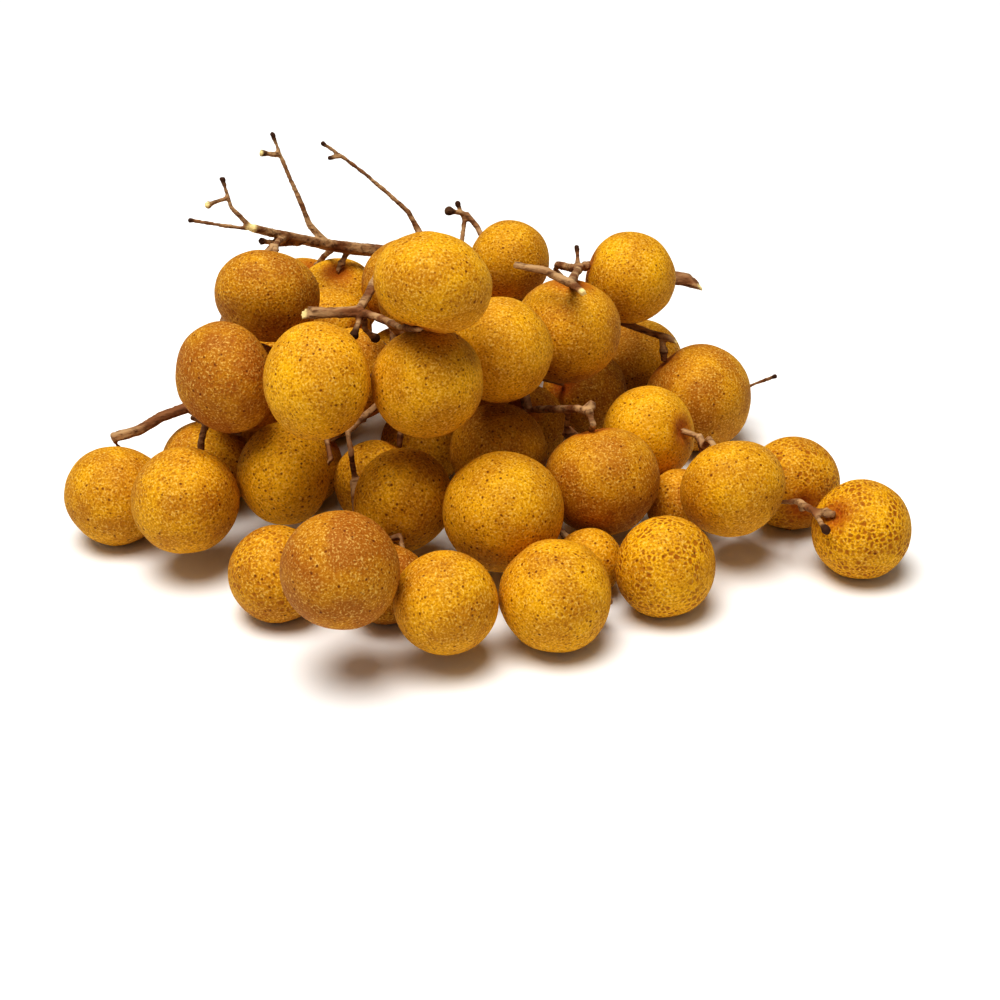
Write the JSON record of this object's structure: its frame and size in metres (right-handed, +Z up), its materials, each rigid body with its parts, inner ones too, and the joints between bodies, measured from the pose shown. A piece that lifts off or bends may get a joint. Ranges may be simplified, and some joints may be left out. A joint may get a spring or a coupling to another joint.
{
  "type": "longan bunch",
  "caption": "Laid bunch of round tan longan fruits, packed close together on their brown, branching stems with bare twigs and a cut stem end.",
  "frame": {"origin": "on the surface that the bunch lies on, under the middle of its bounding box", "axes": "+X along the bunch's longest extent, +Y from its front to its back, +Z up"},
  "size_m": [0.2138, 0.1842, 0.0911],
  "materials": {
    "peel": "matte, thin leathery fruit shell",
    "wood": "rough dry bark"
  },
  "bodies": {
    "root": {"longan_01": "peel", "longan_02": "peel", "longan_03": "peel", "longan_04": "peel", "longan_05": "peel", "longan_06": "peel", "longan_07": "peel", "longan_08": "peel", "longan_09": "peel", "longan_10": "peel", "longan_11": "peel", "longan_12": "peel", "longan_13": "peel", "longan_14": "peel", "longan_15": "peel", "longan_16": "peel", "longan_17": "peel", "longan_18": "peel", "longan_19": "peel", "longan_20": "peel", "longan_21": "peel", "longan_22": "peel", "longan_23": "peel", "longan_24": "peel", "longan_25": "peel", "longan_26": "peel", "longan_27": "peel", "longan_28": "peel", "longan_29": "peel", "longan_30": "peel", "longan_31": "peel", "longan_32": "peel", "longan_33": "peel", "longan_34": "peel", "longan_35": "peel", "longan_36": "peel", "longan_37": "peel", "longan_38": "peel", "longan_39": "peel", "longan_40": "peel", "longan_41": "peel", "longan_42": "peel", "longan_43": "peel", "longan_44": "peel", "longan_45": "peel", "longan_46": "peel", "longan_47": "peel", "longan_48": "peel", "longan_49": "peel", "longan_50": "peel", "longan_51": "peel", "longan_52": "peel", "stems": "wood"}
  },
  "joints": []
}
